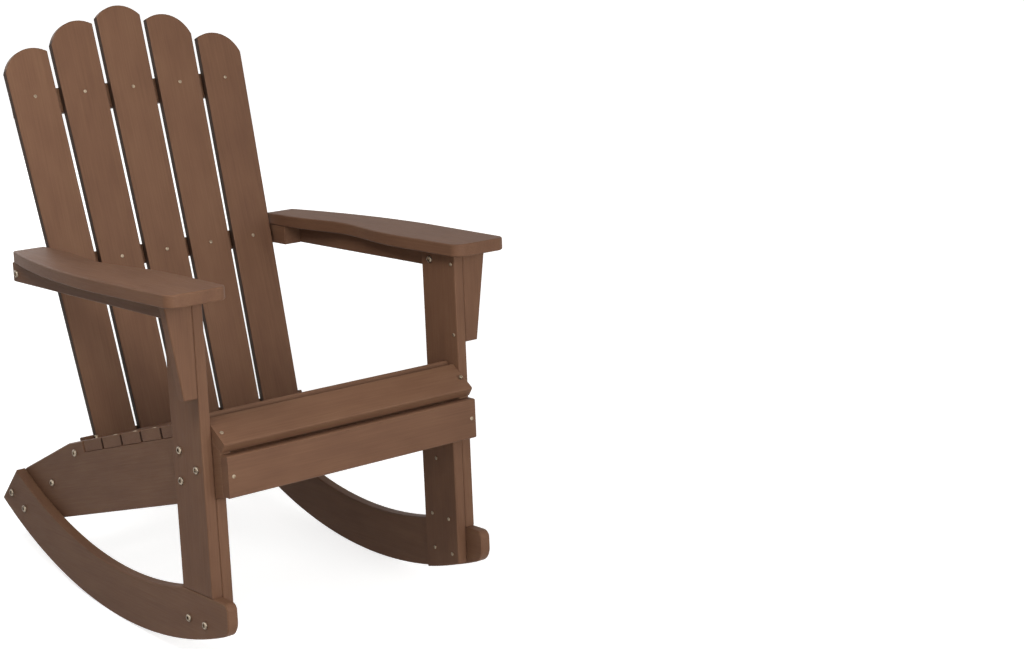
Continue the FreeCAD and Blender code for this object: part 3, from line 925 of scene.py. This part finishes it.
@dataclass
class FastenerRow:
    """All the fasteners of one CAD node.

    Attributes:
        node: the CAD node they stand for.
        raised: numbers of those that stand higher than in the plain solid.
        rise: how much higher they stand, in metres.
        rounds: how often the axis is refined, until the long way of the solid wins.
        rim_share: share of the widest reach from the axis that counts as the rim.
        smooth_below: angle below which the light runs smoothly over an edge.
    """

    node: str
    raised: tuple[int, ...] = ()
    rise: float = 4.3 * MM
    rounds: int = 60
    rim_share: float = 0.9
    smooth_below: float = math.radians(35.0)

    def solids(self, node: bpy.types.Object) -> list[list[Vector]]:
        """Corner points of each separate solid of the node.

        Args:
            node: the CAD node.

        Returns:
            One list of points for each fastener.
        """
        copy = merged_copy(node, "loose_" + self.node)
        activate(copy)
        bpy.ops.object.mode_set(mode="EDIT")
        bpy.ops.mesh.select_all(action="SELECT")
        bpy.ops.mesh.separate(type="LOOSE")
        bpy.ops.object.mode_set(mode="OBJECT")
        parts = list(bpy.context.selected_objects)
        points = [[vertex.co.copy() for vertex in part.data.vertices] for part in parts]
        for part in parts:
            bpy.data.objects.remove(part)
        return sorted(points, key=lambda group: tuple(sum(group, Vector()) / len(group)))

    def placed(self, points: list[Vector]) -> Matrix:
        """Works out where a fastener sits and the way its head faces.

        Args:
            points: the corner points of its CAD solid.

        Returns:
            The matrix that takes the model at the origin to its place.
        """
        centre = sum(points, Vector()) / len(points)
        spokes = [point - centre for point in points]
        axis = max(spokes, key=lambda spoke: spoke.length).normalized()
        for _ in range(self.rounds):
            axis = sum((spoke * spoke.dot(axis) for spoke in spokes), Vector()).normalized()
        along = [point.dot(axis) for point in points]
        radius = [(spoke - axis * spoke.dot(axis)).length for spoke in spokes]
        widest = max(radius)
        wide = [level for level, reach in zip(along, radius) if reach > widest * self.rim_share]
        heads_up = sum(wide) / len(wide) > (min(along) + max(along)) / 2.0
        facing = axis if heads_up else -axis
        seat_level = min(wide) if heads_up else max(wide)
        seat = centre + axis * (seat_level - centre.dot(axis))
        return Matrix.Translation(seat) @ facing.to_track_quat("Z", "Y").to_matrix().to_4x4()

    def build(
        self, frame: dict, model: bpy.types.Object, materials: list[bpy.types.Material], slot: str
    ) -> bpy.types.Object:
        """Copies the model to each place and joins the copies.

        Args:
            model: the fastener at the origin.
            materials: finish of the fasteners, and the painted shade of their recesses.
            slot: the record's name for that finish; it is not used.

        Returns:
            The finished piece.
        """
        copies = []
        for number, points in enumerate(self.solids(frame["nodes"][self.node])):
            copy = bpy.data.objects.new(self.node + "_steel", model.data.copy())
            bpy.context.scene.collection.objects.link(copy)
            if number in self.raised:
                copy.data.transform(Matrix.Translation((0.0, 0.0, self.rise)))
            copy.data.transform(self.placed(points))
            copies.append(copy)
        deselect()
        for copy in copies:
            copy.select_set(True)
        bpy.context.view_layer.objects.active = copies[0]
        if len(copies) > 1:
            bpy.ops.object.join()
        piece = bpy.context.view_layer.objects.active
        piece.name = piece.data.name = self.node + "_steel"
        activate(piece)
        bpy.ops.object.shade_smooth_by_angle(angle=self.smooth_below)
        dress(piece, materials)
        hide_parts(self.node)
        return piece


@dataclass
class Fasteners:
    """Socket bolts of the side frames and small screws of the slats.

    Attributes:
        bolts: rows of bolts.
        rail_bolts: those of them that reach through a board into a rail, so are long.
        screws: rows of screws.
        on_cupped_slat: for a row, the numbers of its screws on the raised slat.
        short_shank: length of a short bolt's shank, in metres.
        long_shank: length of a long bolt's shank.
    """

    bolts: tuple[str, ...] = (
        "leg_bolts",
        "rocker_bolts",
        "stringer_bolts",
        "arm_rail_bolts",
        "leg_top_bolts",
    )
    rail_bolts: tuple[str, ...] = ("stringer_bolts", "arm_rail_bolts")
    screws: tuple[str, ...] = (
        "bracket_screws",
        "inner_leg_screws",
        "back_slat_screws",
        "seat_slat_screws",
        "apron_screws",
    )
    on_cupped_slat: dict[str, tuple[int, ...]] = field(default_factory=lambda: {"seat_slat_screws": (1, 8)})
    short_shank: float = 36.0 * MM
    long_shank: float = 60.0 * MM

    def bolt(self, length: float) -> Fastener:
        """Socket bolt with a shank of the given length."""
        return Fastener(
            Head.SOCKET_BOLT,
            radius=6.5 * MM,
            height=3.6 * MM,
            shank=4.0 * MM,
            length=length,
            recess=6.6 * MM,
            depth=2.8 * MM,
        )

    def screw(self) -> Fastener:
        """Low-headed wood screw."""
        return Fastener(
            Head.WOOD_SCREW,
            radius=3.3 * MM,
            height=1.3 * MM,
            shank=2.2 * MM,
            length=33.0 * MM,
            recess=4.0 * MM,
            depth=0.9 * MM,
        )

    def build(self, frame: dict, finishes: Finishes) -> list[bpy.types.Object]:
        """Models and places every fastener.

        Args:
            finishes: the finishes of the chair.

        Returns:
            One piece for each CAD node of fasteners.
        """
        short = self.bolt(self.short_shank).build("frame_bolt")
        long = self.bolt(self.long_shank).build("rail_bolt")
        screw = self.screw().build("slat_screw")
        # The second material of each list is the painted shade inside the recesses.
        bolt_finish = [finishes.bolt_steel, finishes.recess_painted_shade]
        screw_finish = [finishes.screw_steel, finishes.recess_painted_shade]
        pieces = []
        for node in self.bolts:
            model = long if node in self.rail_bolts else short
            pieces.append(FastenerRow(node).build(frame, model, bolt_finish, "bolt_metal"))
        for node in self.screws:
            row = FastenerRow(node, self.on_cupped_slat.get(node, ()))
            pieces.append(row.build(frame, screw, screw_finish, "screw_metal"))
        for model in (short, long, screw):
            bpy.data.objects.remove(model)
        return pieces


@dataclass
class Lamp:
    """One soft lamp of the studio.

    Attributes:
        name: what it is called.
        place: where it hangs.
        size: width of its square face.
        power: its power in watts.
    """

    name: str
    place: Vector
    size: float
    power: float

    def build(self, target: Vector) -> None:
        """Hangs the lamp so that it faces the chair.

        Args:
            target: the point it faces.
        """
        data = bpy.data.lights.new(self.name, "AREA")
        data.size = self.size
        data.energy = self.power
        lamp = bpy.data.objects.new(self.name, data)
        bpy.context.scene.collection.objects.link(lamp)
        lamp.location = self.place
        lamp.visible_camera = False
        lamp.rotation_euler = (target - self.place).to_track_quat("-Z", "Y").to_euler()


@dataclass
class Studio:
    """Pale floor, pale surroundings, soft lamps and the photograph's camera.

    Attributes:
        floor_colour: sRGB value of the floor's paint.
        floor_roughness: roughness of that matt paint.
        floor_size: length of the floor's sides, in metres.
        floor_lift: what is added to the floor near the chair, so that it is seen pale.
        lift_reach: distances between which that lift grows to plain white, in metres.
        glow: light of the surroundings on the chair.
        lens: focal length of the camera, in millimetres.
        sensor: width of its sensor, in millimetres.
        camera_place: where the camera stands.
        camera_right: direction to the right in the picture.
        camera_up: rough direction upwards in the picture.
        target: the point that the lamps face.
        lamps: the soft lamps.
    """

    floor_colour: str = "D2D2D0"
    floor_roughness: float = 0.9
    floor_size: float = 60.0
    floor_lift: float = 0.74
    lift_reach: tuple[float, float] = (1.2, 4.0)
    glow: float = 0.07
    lens: float = 72.57
    sensor: float = 36.0
    camera_place: Vector = field(default_factory=lambda: Vector((-1.9563, -3.0835, 1.5214)))
    camera_right: Vector = field(default_factory=lambda: Vector((0.76532, -0.64337, 0.01893)))
    camera_up: Vector = field(default_factory=lambda: Vector((0.16143, 0.22033, 0.96197)))
    target: Vector = field(default_factory=lambda: Vector((0.0, 0.0, 0.5)))
    lamps: tuple[Lamp, ...] = field(
        default_factory=lambda: (
            Lamp("front_softbox", Vector((0.5, -4.0, 1.5)), 2.0, 89.0),
            Lamp("near_softbox", Vector((-0.9, -1.7, 1.7)), 0.8, 6.5),
            Lamp("low_softbox", Vector((-0.75, -1.5, 0.65)), 0.6, 6.0),
            Lamp("top_softbox", Vector((-0.7, -0.5, 2.6)), 1.0, 6.5),
            Lamp("arm_softbox", Vector((-1.0, -0.4, 1.8)), 0.6, 15.0),
            Lamp("rear_softbox", Vector((0.3, 3.9, 1.2)), 2.2, 52.0),
            Lamp("right_softbox", Vector((3.9, -0.6, 1.5)), 2.2, 32.0),
        )
    )

    def seen_rays(self, tree: bpy.types.NodeTree) -> bpy.types.NodeSocket:
        """One for what the camera, gloss and glass see, and nought for light on the chair.

        Args:
            tree: the node tree of the floor or the world.

        Returns:
            The socket that tells the two apart.
        """
        path = add_node(tree, "ShaderNodeLightPath")
        seen = path.outputs["Is Camera Ray"]
        for kind in ("Is Glossy Ray", "Is Transmission Ray"):
            either = add_node(
                tree, "ShaderNodeMath", {"operation": "MAXIMUM"}, links={0: seen, 1: path.outputs[kind]}
            )
            seen = either.outputs["Value"]
        return seen

    def build_world(self) -> None:
        """Surrounds the chair with an even pale glow, seen as white."""
        world = bpy.data.worlds.new("pale_surroundings")
        world.use_nodes = True
        tree = world.node_tree
        tree.nodes.clear()
        glow = add_node(tree, "ShaderNodeBackground", sockets={"Color": WHITE, "Strength": self.glow})
        white = add_node(tree, "ShaderNodeBackground", sockets={"Color": WHITE, "Strength": 1.0})
        mixed = add_node(
            tree,
            "ShaderNodeMixShader",
            links={0: self.seen_rays(tree), 1: glow.outputs[0], 2: white.outputs[0]},
        )
        add_node(tree, "ShaderNodeOutputWorld", links={"Surface": mixed.outputs[0]})
        bpy.context.scene.world = world

    def floor_paint(self) -> bpy.types.Material:
        """Pale matt paint that keeps the chair's shadow and is seen as white around it.

        Returns:
            The floor's material.
        """
        material, tree, shader = new_material("pale_floor_paint")
        shader.inputs["Base Color"].default_value = srgb(self.floor_colour)
        shader.inputs["Roughness"].default_value = self.floor_roughness
        where = add_node(tree, "ShaderNodeTexCoord")
        away = add_node(
            tree, "ShaderNodeVectorMath", {"operation": "LENGTH"}, links={0: where.outputs["Object"]}
        )
        near, far = self.lift_reach
        lift = add_node(
            tree,
            "ShaderNodeMapRange",
            sockets={"From Min": near, "From Max": far, "To Min": self.floor_lift, "To Max": 1.0},
            links={"Value": away.outputs["Value"]},
        )
        glow = add_node(
            tree,
            "ShaderNodeEmission",
            sockets={"Color": WHITE},
            links={"Strength": lift.outputs["Result"]},
        )
        lifted = add_node(tree, "ShaderNodeAddShader", links={0: shader.outputs[0], 1: glow.outputs[0]})
        mixed = add_node(
            tree,
            "ShaderNodeMixShader",
            links={0: self.seen_rays(tree), 1: shader.outputs[0], 2: lifted.outputs[0]},
        )
        output = next(node for node in tree.nodes if node.type == "OUTPUT_MATERIAL")
        tree.links.new(mixed.outputs[0], output.inputs["Surface"])
        return material

    def build_floor(self) -> None:
        """Lays the plain pale floor."""
        deselect()
        bpy.ops.mesh.primitive_plane_add(size=self.floor_size)
        floor = bpy.context.object
        floor.name = "studio_floor"
        floor.data.materials.append(self.floor_paint())

    def build_camera(self) -> None:
        """Sets the camera where the photograph was taken from."""
        data = bpy.data.cameras.new("photograph_view")
        data.sensor_width = self.sensor
        data.lens = self.lens
        camera = bpy.data.objects.new("photograph_view", data)
        bpy.context.scene.collection.objects.link(camera)
        right = self.camera_right.normalized()
        back = right.cross(self.camera_up).normalized()
        up = back.cross(right)
        turn = Matrix((right, up, back)).transposed().to_4x4()
        camera.matrix_world = Matrix.Translation(self.camera_place) @ turn
        bpy.context.scene.camera = camera

    def build(self) -> None:
        """Sets up the whole studio."""
        bpy.context.scene.view_settings.view_transform = "Standard"
        self.build_world()
        self.build_floor()
        for lamp in self.lamps:
            lamp.build(self.target)
        self.build_camera()


def main() -> None:
    """Dresses the chair and sets up the studio."""
    logging.basicConfig(level=logging.INFO, format="%(message)s")
    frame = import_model()
    finishes = Finishes()
    boards = [*SideFrames().boards(), *Seat().boards(), *Back().boards()]
    for order, board in enumerate(boards):
        piece = board.build(frame, finishes, order)
        log.info("%s: %d faces, grain %s", piece.name, len(piece.data.polygons), board.run.value)
    for piece in Fasteners().build(frame, finishes):
        log.info("%s: %d faces", piece.name, len(piece.data.polygons))
    Studio().build()


if __name__ == "__main__":
    main()
